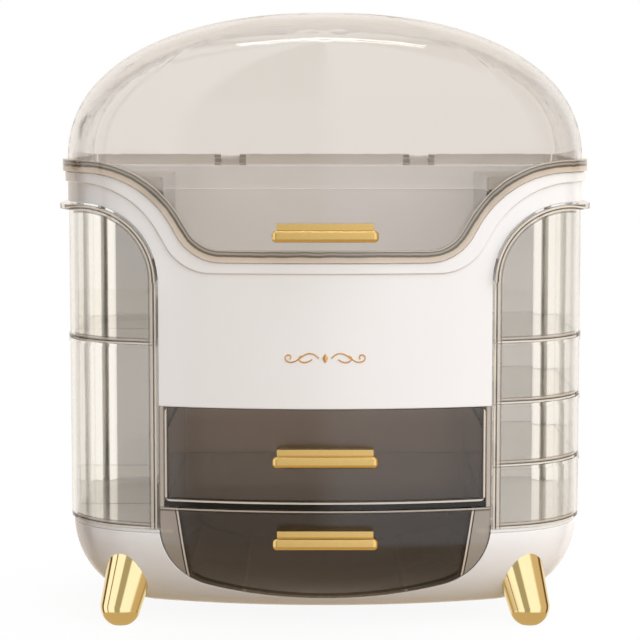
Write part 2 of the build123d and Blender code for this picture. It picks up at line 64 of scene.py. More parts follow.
# %% Colours and nodes
def linear(code, alpha=1.0):
    """A hex colour such as "EDE9E3" as linear red, green, blue and alpha."""
    parts = [int(code[i:i + 2], 16) / 255 for i in (0, 2, 4)]
    curve = [c / 12.92 if c <= 0.04045 else ((c + 0.055) / 1.055) ** 2.4 for c in parts]
    return (*curve, alpha)


def add_node(tree, kind, inputs=None, stops=(), **settings):
    """Adds a shader node with its settings. Inputs get values, or other nodes' outputs as links.

    stops are for a colour ramp: places from 0 to 1, each with a hex colour and a cover.
    """
    made = tree.nodes.new(kind)
    for name, value in settings.items():
        setattr(made, name, value)
    for name, value in (inputs or {}).items():
        if isinstance(value, bpy.types.NodeSocket):
            tree.links.new(value, made.inputs[name])
        else:
            made.inputs[name].default_value = value
    while stops and len(made.color_ramp.elements) < len(stops):
        made.color_ramp.elements.new(0.5)
    for element, (place, code, cover) in zip(made.color_ramp.elements if stops else (), stops):
        element.position = place
        element.color = linear(code, cover)
    return made


def new_material(name):
    """An empty node material, its node tree and its output node."""
    made = bpy.data.materials.new(name)
    made.use_nodes = True
    made.node_tree.nodes.clear()
    return made, made.node_tree, add_node(made.node_tree, "ShaderNodeOutputMaterial")


print("mid grey", round(linear("808080")[0], 3))


# %% Selection
def deselect():
    """Nothing selected, so that the next operator acts on the new piece alone."""
    if bpy.context.object and bpy.context.object.mode != "OBJECT":
        bpy.ops.object.mode_set(mode="OBJECT")
    bpy.ops.object.select_all(action="DESELECT")


deselect()
print("selected", len(bpy.context.selected_objects))

# %% [markdown]
# ## Camera
# The organizer is seen from straight in front, a little above the middle, through a long lens.
# A short lens close by would show more of the drawers' floors and spread the legs. The long one
# is chosen because the shelf lines stay nearly straight and the lid's back edge stays close in
# size to its front edge.

# %% Camera
camera_distance = 1.400
camera_elevation = math.radians(5.5)
camera_aim = Vector((-0.003, 0.001, 0.177))
lens_mm, sensor_mm = 127.2, 36.0
camera_data = bpy.data.cameras.new("camera")
camera = bpy.data.objects.new("camera", camera_data)
bpy.context.scene.collection.objects.link(camera)
camera_data.lens = lens_mm
camera_data.sensor_width = sensor_mm
back = Vector((0, -math.cos(camera_elevation), math.sin(camera_elevation)))
camera.location = camera_aim + back * camera_distance
camera.rotation_euler = (math.radians(90) - camera_elevation, 0, 0)
bpy.context.scene.camera = camera
bpy.context.scene.view_settings.view_transform = "Standard"
print("camera at", [round(v, 3) for v in camera.location])

# %% [markdown]
# ## Studio
# The room is a soft gradient: pale at the right, where a wide window glows, and dark brown at
# the far left. The left side of the organizer then falls off, as a glossy white moulding does in
# a warm room. Area lamps could give the same fall-off, but their hard edges would show in the
# clear dome, and a gradient has none.

# %% World
# Places are the X of a direction, which is -1 at the far left and 1 at the far right.
dark_until, pale_from = -0.40, 0.06
dark_wall, pale_wall, wall_strength = linear("3A2A20"), linear("F8F7F8"), 1.72
window_middle = Vector((0.35, -0.80, 0.45)).normalized()
# Cosines of the angle from the window's middle, at its soft edge and where it is full.
window_edge, window_full, window_strength = 0.55, 0.98, 2.1
white = linear("FFFFFF")

world = bpy.data.worlds.new("studio")
bpy.context.scene.world = world
world.use_nodes = True
tree = world.node_tree
tree.nodes.clear()
way = add_node(tree, "ShaderNodeTexCoord").outputs["Generated"]
axes = add_node(tree, "ShaderNodeSeparateXYZ", {0: way})
side = add_node(tree, "ShaderNodeMapRange", {
    "Value": axes.outputs["X"], "From Min": dark_until, "From Max": pale_from},
    interpolation_type="SMOOTHSTEP")
shade = add_node(tree, "ShaderNodeMix", {
    "Factor": side.outputs["Result"], "A": dark_wall, "B": pale_wall}, data_type="RGBA")
room = add_node(tree, "ShaderNodeBackground", {
    "Color": shade.outputs["Result"], "Strength": wall_strength})
toward = add_node(tree, "ShaderNodeVectorMath", {0: way, 1: window_middle},
                  operation="DOT_PRODUCT")
glow = add_node(tree, "ShaderNodeMapRange", {
    "Value": toward.outputs["Value"], "From Min": window_edge, "From Max": window_full},
    interpolation_type="SMOOTHSTEP")
window = add_node(tree, "ShaderNodeBackground", {"Color": white, "Strength": window_strength})
lit = add_node(tree, "ShaderNodeMixShader", {
    0: glow.outputs["Result"], 1: room.outputs[0], 2: window.outputs[0]})
print("room", len(tree.nodes), "nodes")

# %% [markdown]
# Polished metal shows what stands round it. Here that is a ring of tall white screens with brown
# gaps between them, which draw the streaks down the gold legs. The screens' lower ends stop over
# a warm table, so the legs' round feet are plain gold. Real screens could be modelled as planes,
# but they would light the plastic too. So they are painted on the world, for glossy rays alone.

# %% Screens for mirrors
full_white, rear_wall, brown_gap = "FFFFFF", "E6DDD2", "5E482C"
slit_gap, grey_gap, tan_gap = "6F482C", "A59E8A", "C9B494"
# A whole turn from back to back, so 0.5 is the way to the camera. The ramp blends between bands.
screen_bands = [
    (0.000, 0.140, rear_wall), (0.170, 0.200, brown_gap), (0.215, 0.283, full_white),
    (0.290, 0.300, slit_gap), (0.307, 0.405, full_white), (0.420, 0.492, grey_gap),
    (0.510, 0.655, full_white), (0.690, 0.790, tan_gap), (0.815, 0.845, brown_gap),
    (0.870, 1.000, rear_wall)]
screen_strength = 1.3
# The Z of a direction, which is -1 straight down, and how the table looks from above.
table_edge, table_full, table = -0.36, -0.50, linear("BEA985")

front = add_node(tree, "ShaderNodeMath", {0: axes.outputs["Y"], 1: -1.0}, operation="MULTIPLY")
turn = add_node(tree, "ShaderNodeMath", {0: axes.outputs["X"], 1: front.outputs[0]},
                operation="ARCTAN2")
around = add_node(tree, "ShaderNodeMapRange", {
    "Value": turn.outputs[0], "From Min": -math.pi, "From Max": math.pi})
screens = add_node(tree, "ShaderNodeValToRGB", {0: around.outputs["Result"]}, stops=[
    (place, code, 1) for start, end, code in screen_bands for place in (start, end)])
down = add_node(tree, "ShaderNodeMapRange", {
    "Value": axes.outputs["Z"], "From Min": table_edge, "From Max": table_full},
    interpolation_type="SMOOTHSTEP")
mirrored = add_node(tree, "ShaderNodeMix", {
    "Factor": down.outputs["Result"], "A": screens.outputs["Color"], "B": table},
    data_type="RGBA")
ring = add_node(tree, "ShaderNodeBackground", {
    "Color": mirrored.outputs["Result"], "Strength": screen_strength})
path = add_node(tree, "ShaderNodeLightPath")
lit = add_node(tree, "ShaderNodeMixShader", {
    0: path.outputs["Is Glossy Ray"], 1: lit.outputs[0], 2: ring.outputs[0]})
print("screens", len(screen_bands), "bands")

# %% [markdown]
# The camera sees a plain white sweep behind the object, and so does whatever looks straight
# through a clear wall. A sheet of paper could hang there, but it would shade the room's light.
# Light that a thick edge bends steeply up still meets the screens and their brown gaps, because
# that draws the dark lines in real clear mouldings.

# %% White sweep
# How far a direction rises or falls, as its Z without a sign.
level_until, steep_from = 0.45, 0.62

steep = add_node(tree, "ShaderNodeMath", {0: axes.outputs["Z"]}, operation="ABSOLUTE")
level = add_node(tree, "ShaderNodeMapRange", {
    "Value": steep.outputs[0], "From Min": steep_from, "From Max": level_until},
    interpolation_type="SMOOTHSTEP")
through = add_node(tree, "ShaderNodeMath", {
    0: path.outputs["Is Transmission Ray"], 1: level.outputs["Result"]}, operation="MULTIPLY")
seen = add_node(tree, "ShaderNodeMath", {
    0: path.outputs["Is Camera Ray"], 1: through.outputs[0]}, operation="MAXIMUM")
sweep = add_node(tree, "ShaderNodeBackground", {"Color": white, "Strength": 1.0})
both = add_node(tree, "ShaderNodeMixShader", {
    0: seen.outputs[0], 1: lit.outputs[0], 2: sweep.outputs[0]})
add_node(tree, "ShaderNodeOutputWorld", {"Surface": both.outputs[0]})
print("world", len(tree.nodes), "nodes")

# %% [markdown]
# A thin white streak runs along the top of the dome. A brighter patch in the room could draw it,
# but only blurred. One long narrow lamp straight above draws it sharp, and is too weak to change
# the rest.

# %% Strip lamp
strip_data = bpy.data.lights.new("top_strip", "AREA")
strip_data.shape = "RECTANGLE"
strip_data.size, strip_data.size_y = 0.8, 0.05
strip_data.energy = 1.1
strip = bpy.data.objects.new("top_strip", strip_data)
bpy.context.scene.collection.objects.link(strip)
strip.location = (0.03, -0.02, 1.6)
print("lamp", strip_data.energy, "W")

# %% [markdown]
# The floor is pale to the eye, also through a clear wall. Near the object it takes the soft
# shadow of the legs, and further out it goes over into plain white, so that no horizon shows
# behind the clear lid. To the light that bounces up under the bowl it is a taupe cloth, which
# shades the bowl as the photograph does. Reflections pass through the floor to the screens.
# A shadow catcher could take the shadow alone, but it would give nothing back to the bowl.

# %% Floor
floor_radius, floor_corners = 6.0, 96
paper_colour, cloth_colour = linear("F8F7F6"), linear("B4A99D")
# Distances from the middle of the object, in metres, and how white the paper is at its middle.
fade_start, fade_end, least_white = 0.05, 0.30, 0.92

deselect()
bpy.ops.mesh.primitive_circle_add(vertices=floor_corners, radius=floor_radius, fill_type="NGON",
                                  location=(0, 0, 0))
floor = bpy.context.object
floor.name = "studio_floor"
paper, tree, out = new_material("matt_white_paper")
place = add_node(tree, "ShaderNodeTexCoord").outputs["Object"]
pale = add_node(tree, "ShaderNodeBsdfDiffuse", {"Color": paper_colour})
cloth = add_node(tree, "ShaderNodeBsdfDiffuse", {"Color": cloth_colour})
plain = add_node(tree, "ShaderNodeEmission", {"Color": white, "Strength": 1.0})
distance = add_node(tree, "ShaderNodeVectorMath", {0: place}, operation="LENGTH")
fade = add_node(tree, "ShaderNodeMapRange", {
    "Value": distance.outputs["Value"], "From Min": fade_start, "From Max": fade_end,
    "To Min": least_white}, interpolation_type="SMOOTHSTEP")
path = add_node(tree, "ShaderNodeLightPath")
seen = add_node(tree, "ShaderNodeMath", {
    0: path.outputs["Is Camera Ray"], 1: path.outputs["Is Transmission Ray"]},
    operation="MAXIMUM")
ground = add_node(tree, "ShaderNodeMixShader", {
    0: seen.outputs[0], 1: cloth.outputs[0], 2: pale.outputs[0]})
amount = add_node(tree, "ShaderNodeMath", {0: fade.outputs["Result"], 1: seen.outputs[0]},
                  operation="MULTIPLY")
ground = add_node(tree, "ShaderNodeMixShader", {
    0: amount.outputs[0], 1: ground.outputs[0], 2: plain.outputs[0]})
# A ray that went through clear plastic counts as glossy too, so it is taken off here.
reflected = add_node(tree, "ShaderNodeMath", {
    0: path.outputs["Is Glossy Ray"], 1: path.outputs["Is Transmission Ray"]},
    operation="SUBTRACT", use_clamp=True)
opening = add_node(tree, "ShaderNodeBsdfTransparent")
ground = add_node(tree, "ShaderNodeMixShader", {
    0: reflected.outputs[0], 1: ground.outputs[0], 2: opening.outputs[0]})
tree.links.new(ground.outputs[0], out.inputs["Surface"])
floor.data.materials.append(paper)
print("floor", floor_radius, "m")

# %% [markdown]
# ## White mouldings
# Base, body and back are white ABS, injection moulded in polished tools. Such a part has an even
# colour and a clear gloss, and its broad faces are never quite flat. A matt white would look like
# plaster, and a perfect gloss like glass. So the plastic's own gloss gets a thin clear coat, and a
# very low, broad bump bends the reflections a little.


# %% White ABS
def fine_bump(tree, size_mm, height_mm, detail=2.0):
    """Bump from a noise whose grains are size_mm across, on Object coordinates."""
    place = add_node(tree, "ShaderNodeTexCoord").outputs["Object"]
    noise = add_node(tree, "ShaderNodeTexNoise", {
        "Vector": place, "Scale": 1 / (size_mm * mm), "Detail": detail})
    return add_node(tree, "ShaderNodeBump", {
        "Height": noise.outputs["Fac"], "Strength": 1.0, "Distance": height_mm * mm})


def white_shader(tree, code):
    """High-gloss ABS, injection moulded: even, with a clear gloss and a faint waviness."""
    wave_mm, wave_height_mm = 22.0, 0.05
    bump = fine_bump(tree, wave_mm, wave_height_mm)
    return add_node(tree, "ShaderNodeBsdfPrincipled", {
        "Base Color": linear(code), "Roughness": 0.22, "IOR": 1.53, "Coat Weight": 0.25,
        "Coat Roughness": 0.06, "Normal": bump.outputs["Normal"]}).outputs[0]


def thin_white_shader(tree, code):
    """The same ABS in a thin flat panel, which glows a little where light stands behind it."""
    glow_share = 0.5
    glow = add_node(tree, "ShaderNodeBsdfTranslucent", {"Color": linear(code)})
    return add_node(tree, "ShaderNodeMixShader", {
        0: glow_share, 1: white_shader(tree, code), 2: glow.outputs[0]}).outputs[0]


def moulding(name, shader, *settings):
    """A material of one of the plastics' shaders."""
    made, tree, out = new_material(name)
    tree.links.new(shader(tree, *settings), out.inputs["Surface"])
    return made


white_code, cream_code = "EFEEEE", "E8DFD5"
white_abs = moulding("white_gloss_abs", white_shader, white_code)
thin_abs = moulding("thin_white_gloss_abs", thin_white_shader, white_code)
cream_abs = moulding("cream_gloss_abs", white_shader, cream_code)
print("white plastics", white_abs.name, thin_abs.name, cream_abs.name)

# %% [markdown]
# No moulding has knife edges: its tool is rounded, and light catches those small rounds. A bevel
# node in the shader could fake them, but the exported mesh would stay sharp. A real bevel needs
# clean faces, and a CAD node's mesh is loose triangles. So a copy of it is merged, its flat areas
# are joined to single faces, and a bevel modifier rounds what is left sharp. The copy then stands
# for the node.

# %% Copies that stand for a node
body_of = {node: body for body, members in frame["record"]["behaviour"]["bodies"].items()
           for node in members}


def copy_of(name, *materials):
    """A copy of a CAD node, with its own materials, that rides on the same body."""
    piece = bpy.data.objects.new(name + "_moulding", nodes[name].data.copy())
    bpy.context.scene.collection.objects.link(piece)
    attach(piece, body_of[name])
    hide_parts(name)
    piece.data.materials.clear()
    for material in materials:
        piece.data.materials.append(material)
    return piece


# %% Rounded edges
round_mm, weld_mm = 0.7, 0.002
flat_angle, sharp_angle, smooth_angle = (math.radians(a) for a in (0.2, 40, 32))


def round_edges(piece):
    """Merges a copied mesh and rounds its sharp edges."""
    deselect()
    piece.select_set(True)
    bpy.context.view_layer.objects.active = piece
    bpy.ops.object.mode_set(mode="EDIT")
    bpy.ops.mesh.select_all(action="SELECT")
    bpy.ops.mesh.remove_doubles(threshold=weld_mm * mm)
    bpy.ops.mesh.customdata_custom_splitnormals_clear()
    bpy.ops.mesh.dissolve_limited(angle_limit=flat_angle)
    bpy.ops.object.mode_set(mode="OBJECT")
    bevel = piece.modifiers.new("moulded_rounds", "BEVEL")
    bevel.width = round_mm * mm
    bevel.segments = 3
    bevel.limit_method = "ANGLE"
    bevel.angle_limit = sharp_angle
    bevel.use_clamp_overlap = False
    bpy.ops.object.modifier_apply(modifier=bevel.name)
    bpy.ops.object.shade_smooth_by_angle(angle=smooth_angle)
    even = piece.modifiers.new("even_shading", "WEIGHTED_NORMAL")
    even.keep_sharp = True
    bpy.ops.object.modifier_apply(modifier=even.name)


for name in ("base_shell", "base_deck", "body_shell", "back_panel"):
    piece = copy_of(name, thin_abs if name == "back_panel" else white_abs)
    round_edges(piece)
    print(piece.name, len(piece.data.polygons), "faces")

# %% [markdown]
# ## Clear mouldings
# Lid, bins and drawers are polystyrene, moulded clear or with a little smoke colour in it, and as
# smooth as glass. A plain transparent shader would be quicker, but would show no thickness at the
# rims. So the plastic refracts, and only lamp light goes straight through, because refracted lamp
# light would cost far more samples. The real index is 1.59. Here it is 1.45, which keeps the
# dome's edges as pale as they are in the photograph.


# %% Clear polystyrene
def clear_shader(tree, code, lamp_code):
    """Clear polystyrene: smooth, bends light at its edges, and lets lamp light through."""
    wave_mm, wave_height_mm = 30.0, 0.04
    bump = fine_bump(tree, wave_mm, wave_height_mm, detail=1.0)
    plastic = add_node(tree, "ShaderNodeBsdfPrincipled", {
        "Base Color": linear(code), "Roughness": 0.03, "IOR": 1.45, "Transmission Weight": 1.0,
        "Normal": bump.outputs["Normal"]})
    # Light crosses two faces of a wall, so each face takes the square root of the tint.
    per_face = [channel ** 0.5 for channel in linear(lamp_code)]
    straight = add_node(tree, "ShaderNodeBsdfTransparent", {"Color": per_face})
    path = add_node(tree, "ShaderNodeLightPath")
    return add_node(tree, "ShaderNodeMixShader", {
        0: path.outputs["Is Shadow Ray"], 1: plastic.outputs[0],
        2: straight.outputs[0]}).outputs[0]


# Each colour, and the tint it gives to lamp light.
clear_tint, dome_tint = ("FDFAF5", "FFFFFF"), ("EFEBE7", "EFEBE7")
# The middle drawer's smoke is a paler copy of the bottom one's, which lights up its shaded inside:
# painted light.
smoke_tint, smoke_tint_painted_paler = ("D3C7BE", "D3C7BE"), ("F6ECE4", "F6ECE4")
clear_ps = moulding("clear_polystyrene", clear_shader, *clear_tint)
dome_ps = moulding("tinted_clear_polystyrene", clear_shader, *dome_tint)
smoke_ps = moulding("smoked_polystyrene", clear_shader, *smoke_tint)
smoke_ps_painted_paler = moulding("smoked_polystyrene_painted_paler", clear_shader, *smoke_tint_painted_paler)
print("clear plastics", clear_ps.name, dome_ps.name, smoke_ps.name, smoke_ps_painted_paler.name)

# %% [markdown]
# From the front, a thick clear edge is a set of hair lines: dark where it gathers the dark of the
# room, pale where it gathers the white. Refraction alone could draw them, but the lines are
# thinner than its noise. They could be modelled as thin strips too, which would stand proud. So
# these reflections are painted over the shader as lines, each at its real distance in millimetres
# from the edge.


# %% Painted reflection lines
def folded_place(tree):
    """A point in the frame's millimetres, its left side folded over on the right."""
    place = add_node(tree, "ShaderNodeTexCoord").outputs["Object"]
    scaled = add_node(tree, "ShaderNodeVectorMath", {0: place, "Scale": 1 / mm},
                      operation="SCALE")
    return add_node(tree, "ShaderNodeVectorMath", {0: scaled.outputs[0]},
                    operation="ABSOLUTE").outputs[0]


def add_painted_lines(tree, under, value, start, way, stops):
    """Lays painted light, as fine dark and pale lines, over a shader, across an edge.

    value is a place in millimetres, start is where the edge lies, and way is 1 or -1. Stops are
    millimetres from the edge, each with a colour and a cover.
    """
    span = stops[-1][0]
    along = add_node(tree, "ShaderNodeMapRange", {
        "Value": value, "From Min": start, "From Max": start + way * span})
    ramp = add_node(tree, "ShaderNodeValToRGB", {0: along.outputs["Result"]}, stops=[
        (place / span, code, cover) for place, code, cover in stops])
    line = add_node(tree, "ShaderNodeBsdfPrincipled", {
        "Base Color": ramp.outputs["Color"], "Roughness": 0.15, "IOR": 1.5,
        "Transmission Weight": 0.2})
    return add_node(tree, "ShaderNodeMixShader", {
        0: ramp.outputs["Alpha"], 1: under, 2: line.outputs[0]}).outputs[0]


print("helpers", folded_place.__name__, add_painted_lines.__name__)

# %% [markdown]
# A bin's front is a wall with an arched top. Its rim shows dark and pale painted reflections by
# turns, which follow the arch and then run straight down the inner edge, and its floor shows as
# such painted lines at the foot. The arch is part of a circle, so the distance from its middle
# places the lines exactly, where a painted picture would have to be fitted to each of the six
# bins.

# %% Bin fronts
arch_middle, arch_bottom, arch_radius = 142.5, 207.0, 44.5
# Painted reflections: the dark stops stand for the dark of the room, the pale ones for its white,
# seen in the rim and the floor.
arch_painted_reflections = [
    (0, "3E3832", 0.9), (0.6, "3E3832", 0.9), (0.9, "E9DDCB", 0.95), (1.6, "E9DDCB", 0.95),
    (1.9, "4A423B", 0.9), (2.5, "4A423B", 0.9), (2.9, "E3D9CB", 0.7), (4.2, "E3D9CB", 0.5),
    (4.5, "6E645A", 0.7), (5.1, "6E645A", 0.6), (5.6, "E3D9CB", 0), (6.5, "E3D9CB", 0)]
floor_painted_reflections = [
    (0, "FBF3E6", 0.9), (0.9, "FBF3E6", 0.9), (1.2, "6B6259", 0.8), (1.6, "6B6259", 0.8),
    (1.9, "CFC4B6", 0.7), (2.8, "CFC4B6", 0.7), (3.1, "7D7268", 0.7), (3.5, "7D7268", 0.6),
    (4.0, "CFC4B6", 0), (4.5, "CFC4B6", 0)]
# Longer than any way in the object, so that MAXIMUM leaves X alone.
far_left = -1000


def bin_front(tree):
    """A bin's front wall: painted reflections as hair lines along the arch and the inner edge, and
    over its floor.
    """
    off = add_node(tree, "ShaderNodeVectorMath", {
        0: folded_place(tree), 1: (arch_middle, 0, arch_bottom)}, operation="SUBTRACT")
    flat = add_node(tree, "ShaderNodeVectorMath", {0: off.outputs[0], 1: (1, 0, 1)},
                    operation="MULTIPLY")
    # Below the arch the edge is upright, so only the way across counts there.
    upper = add_node(tree, "ShaderNodeVectorMath", {0: flat.outputs[0], 1: (far_left, 0, 0)},
                     operation="MAXIMUM")
    reach = add_node(tree, "ShaderNodeVectorMath", {0: upper.outputs[0]}, operation="LENGTH")
    rise = add_node(tree, "ShaderNodeAttribute", attribute_name="floor_rise")
    under = clear_shader(tree, *clear_tint)
    under = add_painted_lines(tree, under, rise.outputs["Fac"], 0, 1, floor_painted_reflections)
    return add_painted_lines(tree, under, reach.outputs["Value"], arch_radius, -1, arch_painted_reflections)


bin_front_painted_ps = moulding("clear_polystyrene_bin_front_painted_reflections", bin_front)
print(bin_front_painted_ps.name, len(bin_front_painted_ps.node_tree.nodes), "nodes")

# %% [markdown]
# The housing's front edges are painted pale between two painted dark shade lines. The middle
# drawer's front has a painted highlight and a painted dark line inside its sides and its foot.
# Behind the bottom drawer's front, the tray's sides slant with the bowl, so painted highlights and
# dark lines show where they meet it, and the plastic outside it is painted paler. A painted
# highlight and a dark line run along its top too. Each line is a plain measure across X, across Z
# or across the slant, so no texture is needed.

# %% Housing and drawer fronts
tower_half_width = 97.5
tray_half_width, tray_top, tray_slope = 86.8, 72.2, math.tan(math.radians(8.7))
outside_mm = 3.0
# Painted light and shade: the pale stops are painted highlights along thick edges, the dark ones
# painted shade where edges and gaps fall dark.
housing_painted_light = [
    (0, "4E463E", 0.8), (0.6, "4E463E", 0.8), (0.9, "C9BEB0", 1), (2.6, "C9BEB0", 1),
    (2.9, "4E463E", 0.8), (4.0, "4E463E", 0.8)]
middle_painted_light = [
    (0, "F2E8DB", 0.9), (0.9, "F2E8DB", 0.9), (1.3, "3B332C", 0.7), (1.9, "3B332C", 0.7),
    (2.4, "3B332C", 0), (3.0, "3B332C", 0)]
slant_painted_light = [
    (0, "D2C7BA", 0.6), (1.6, "D2C7BA", 0.6), (1.9, "2A2520", 0.8), (2.4, "2A2520", 0.8),
    (2.7, "E6DACC", 0.95), (3.5, "E6DACC", 0.95), (3.8, "1E1A16", 0.8), (4.6, "1E1A16", 0.6),
    (5.2, "1E1A16", 0), (6.0, "1E1A16", 0)]
top_painted_light = [
    (0, "D9CDBF", 0.8), (0.8, "D9CDBF", 0.8), (1.1, "332C26", 0.7), (1.7, "332C26", 0.7),
    (2.2, "332C26", 0), (3.0, "332C26", 0)]


def housing_front(tree):
    """The housing's front edges: painted pale, between two painted dark shade lines."""
    axes = add_node(tree, "ShaderNodeSeparateXYZ", {0: folded_place(tree)})
    return add_painted_lines(tree, white_shader(tree, cream_code), axes.outputs["X"],
                     tower_half_width, -1, housing_painted_light)


def middle_front(tree, half_width, low):
    """The middle drawer's front: a painted highlight line and a painted dark line inside its sides
    and foot.
    """
    axes = add_node(tree, "ShaderNodeSeparateXYZ", {0: folded_place(tree)})
    under = clear_shader(tree, *smoke_tint_painted_paler)
    under = add_painted_lines(tree, under, axes.outputs["X"], half_width, -1, middle_painted_light)
    return add_painted_lines(tree, under, axes.outputs["Z"], low, 1, middle_painted_light)


def bottom_front(tree, top):
    """The bottom drawer's front: painted highlight and dark lines where the tray's slanted sides
    meet it, painted paler outside.
    """
    place = folded_place(tree)
    axes = add_node(tree, "ShaderNodeSeparateXYZ", {0: place})
    inward = add_node(tree, "ShaderNodeVectorMath", {0: place, 1: (-1, 0, tray_slope)},
                      operation="DOT_PRODUCT")
    tray_side = tray_top * tray_slope - tray_half_width
    under = clear_shader(tree, *smoke_tint)
    under = add_painted_lines(tree, under, inward.outputs["Value"], tray_side - outside_mm, 1,
                      slant_painted_light)
    return add_painted_lines(tree, under, axes.outputs["Z"], top, -1, top_painted_light)


middle_low, middle_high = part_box("middle_drawer_tray")
bottom_low, bottom_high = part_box("bottom_drawer_tray")
middle_half_mm = (middle_high[0] - middle_low[0]) / 2 / mm
housing_front_painted_abs = moulding("cream_abs_front_edge_painted_light", housing_front)
middle_front_painted_ps = moulding("smoked_middle_front_painted_light", middle_front, middle_half_mm,
                           middle_low[2] / mm)
bottom_front_painted_ps = moulding("smoked_bottom_front_painted_light", bottom_front, bottom_high[2] / mm)
print("middle drawer", round(2 * middle_half_mm, 1), "mm wide")

# %% [markdown]
# The painted lines belong on the faces that look forward. A copy of the mesh takes both finishes,
# the plain one and the one with painted lines, and each face gets one of them by the way it
# points. These copies aren't merged or bevelled, because the frame's mesh carries the exact smooth
# normals of the curved walls, which clear plastic needs. Each point's height above its bin's floor
# is stored on the mesh, so that one finish serves all six bins.

# %% Dress the thin mouldings
forward_normal, front_zone_y = -0.4, -0.03

pairs = {"drawer_housing": (cream_abs, housing_front_painted_abs),
         "middle_drawer_tray": (smoke_ps_painted_paler, middle_front_painted_ps),
         "bottom_drawer_tray": (smoke_ps, bottom_front_painted_ps)}
for name in nodes:
    if name.startswith(("left_bin", "right_bin")) and not name.endswith("pin"):
        pairs[name] = (clear_ps, bin_front_painted_ps)
for name, pair in pairs.items():
    mesh = copy_of(name, *pair).data
    floor_z = min(vertex.co.z for vertex in mesh.vertices)
    rise = mesh.attributes.new("floor_rise", "FLOAT", "POINT")
    for vertex in mesh.vertices:
        rise.data[vertex.index].value = (vertex.co.z - floor_z) / mm
    lined = [face for face in mesh.polygons
             if face.normal.y < forward_normal and face.center.y < front_zone_y]
    for face in lined:
        face.material_index = 1
    print(name, len(lined), "of", len(mesh.polygons), "faces lined")


# %% Dress the small clear parts
def finish_node(name, material):
    """Gives a CAD node one material."""
    piece = nodes[name]
    piece.data.materials.clear()
    piece.data.materials.append(material)


for name in nodes:
    if "divider" in name or "pocket" in name:
        finish_node(name, clear_ps)
finish_node("drawer_shelf", smoke_ps)
print("shelf", nodes["drawer_shelf"].data.materials[0].name)

# %% [markdown]
# ## Lid
# The dome is one clear moulding with a thicker lip round its foot. Seen from outside, the lip
# shows two lines that follow the rim's sweep, painted reflections: its upper edge gathers the dark
# of the room, and its lower edge the cream of the body. A stripe by height alone would cut across
# the sweep. So each point of the mesh stores how far it lies above the rim, square to it, as 0 at
# the foot of the lip and 1 at its top, and the lip's finish paints its lines by that value.


# %% Lip finish
def lip_moulding(name):
    """The lid's thick lip: clear, with painted reflections on it, a dark line above and a cream
    line below.
    """
    ripple_mm, wander = 9, 0.14
    rear_start, rear_end, rear_painted_pale = 0.060, 0.085, linear("D9D0C5")
    made, tree, out = new_material(name)
    height = add_node(tree, "ShaderNodeAttribute", attribute_name="lip_height")
    place = add_node(tree, "ShaderNodeTexCoord").outputs["Object"]
    ripple = add_node(tree, "ShaderNodeTexNoise", {
        "Vector": place, "Scale": 1 / (ripple_mm * mm), "Detail": 2.0})
    # The painted lines wander by a little, as a real lip's reflections are never quite straight.
    shift = add_node(tree, "ShaderNodeMath", {
        0: ripple.outputs["Fac"], 1: wander, 2: -wander / 2}, operation="MULTIPLY_ADD")
    level = add_node(tree, "ShaderNodeMath", {0: height.outputs["Fac"], 1: shift.outputs[0]},
                     operation="ADD")
    ramp = add_node(tree, "ShaderNodeValToRGB", {0: level.outputs[0]}, stops=[
        (0, "E6D9CA", 1), (0.40, "D9C6B0", 1), (0.48, "5E5A52", 1), (0.60, "5E5A52", 1),
        (0.66, "A9A195", 1), (0.76, "A9A195", 1), (0.82, "66625A", 1), (0.88, "66625A", 1),
        (0.93, "E3D9CB", 1), (1, "A79B8C", 1)])
    # Seen through the dome, the lip at the back is painted pale, without the dark reflections.
    axes = add_node(tree, "ShaderNodeSeparateXYZ", {0: place})
    rear = add_node(tree, "ShaderNodeMapRange", {
        "Value": axes.outputs["Y"], "From Min": rear_start, "From Max": rear_end})
    colour = add_node(tree, "ShaderNodeMix", {
        "Factor": rear.outputs["Result"], "A": ramp.outputs["Color"], "B": rear_painted_pale},
        data_type="RGBA")
    plastic = add_node(tree, "ShaderNodeBsdfPrincipled", {
        "Base Color": colour.outputs["Result"], "Roughness": 0.08, "IOR": 1.5,
        "Transmission Weight": 0.35})
    tree.links.new(plastic.outputs[0], out.inputs["Surface"])
    return made


lip_painted_ps = lip_moulding("polished_lip_polystyrene_painted_reflections")
print(lip_painted_ps.name, len(lip_painted_ps.node_tree.nodes), "nodes")

# %% [markdown]
# The rim runs low across the front panel and high over the shoulders and the back. Between them
# it sweeps up in two arcs with a straight piece where they meet. The same arcs give the distance
# from it, which a search for the nearest point of the mesh would only give roughly.

# %% Distance from the rim
# Millimetres, all for the right half. The left half is the same.
rim_low, rim_high, sweep_slope = 219.0, 270.0, math.radians(60)
sweep_start, low_radius, high_radius = 60.0, 30.0, 60.0
low_centre = Vector((sweep_start, rim_low + low_radius))
low_end = low_centre + low_radius * Vector((math.sin(sweep_slope), -math.cos(sweep_slope)))
high_start_z = rim_high - high_radius * (1 - math.cos(sweep_slope))
high_start_x = low_end.x + (high_start_z - low_end.y) / math.tan(sweep_slope)
sweep_end = high_start_x + high_radius * math.sin(sweep_slope)
high_centre = Vector((sweep_end, rim_high - high_radius))
# Metres: behind this the rim is level all the way round.
sweep_back_y = -0.0190


def above_rim(point):
    """Millimetres square off the body's rim, for a point in metres."""
    x, z = abs(point.x) / mm, point.z / mm
    if point.y > sweep_back_y or x > sweep_end:
        return z - rim_high
    if x < sweep_start:
        return z - rim_low
    here = Vector((x, z))
    if math.atan2(x - low_centre.x, low_centre.y - z) < sweep_slope and z < low_centre.y:
        return low_radius - (here - low_centre).length
    if math.atan2(high_centre.x - x, z - high_centre.y) < sweep_slope and z > high_centre.y:
        return (here - high_centre).length - high_radius
    return (here - low_end).dot(Vector((-math.sin(sweep_slope), math.cos(sweep_slope))))


